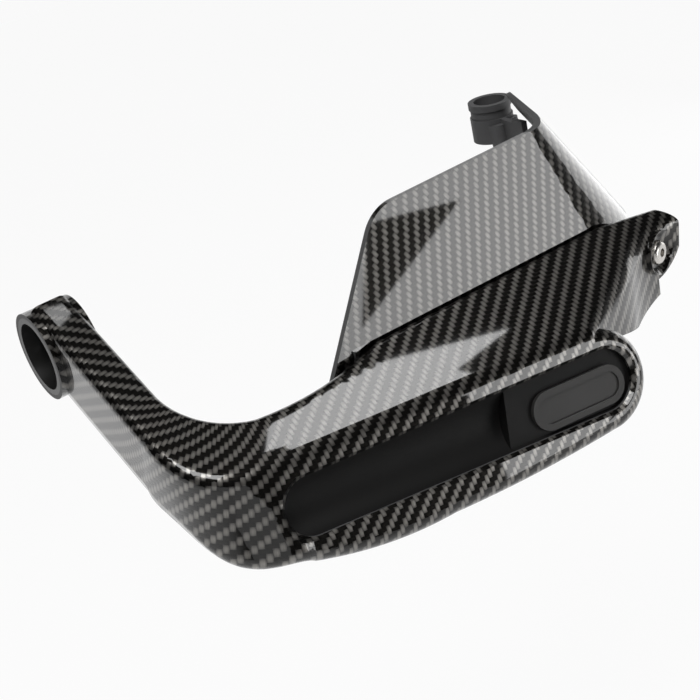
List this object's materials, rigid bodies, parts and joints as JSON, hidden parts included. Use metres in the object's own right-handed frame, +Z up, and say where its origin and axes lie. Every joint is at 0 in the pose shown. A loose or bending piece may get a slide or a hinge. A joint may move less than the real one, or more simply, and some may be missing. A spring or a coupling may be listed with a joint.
{
  "type": "motorcycle hand guard",
  "caption": "Open hand guard for a handlebar end: a thin woven-fibre shell with a bar-end eye and slotted front, a folded wind deflector and a bracket with a mirror boss.",
  "frame": {"origin": "centre of the bar-end eye, at its outboard face", "axes": "+X inboard along the handlebar, +Y rearward to the rider, +Z up along the mirror boss"},
  "size_m": [0.2961, 0.1685, 0.135],
  "materials": {
    "woven_shell": "clear-coated woven carbon fibre, gloss",
    "woven_deflector": "clear-coated woven carbon fibre, gloss outside and matt grey inside",
    "liner": "matt black",
    "insert": "matt black",
    "badge": "satin dark grey",
    "bracket": "matt dark grey",
    "bolt": "bright stainless",
    "screws": "black zinc",
    "nut": "knurled brass, plain here"
  },
  "bodies": {
    "root": {"guard_shell": "woven_shell", "bar_end_liner": "liner", "slot_insert": "insert", "badge_plate": "badge", "insert_screws": "screws", "wind_deflector": "woven_deflector", "deflector_screws": "screws", "mount_bracket": "bracket", "bracket_nut": "nut", "ear_sleeve": "bolt", "ear_bolt": "bolt"}
  },
  "joints": []
}
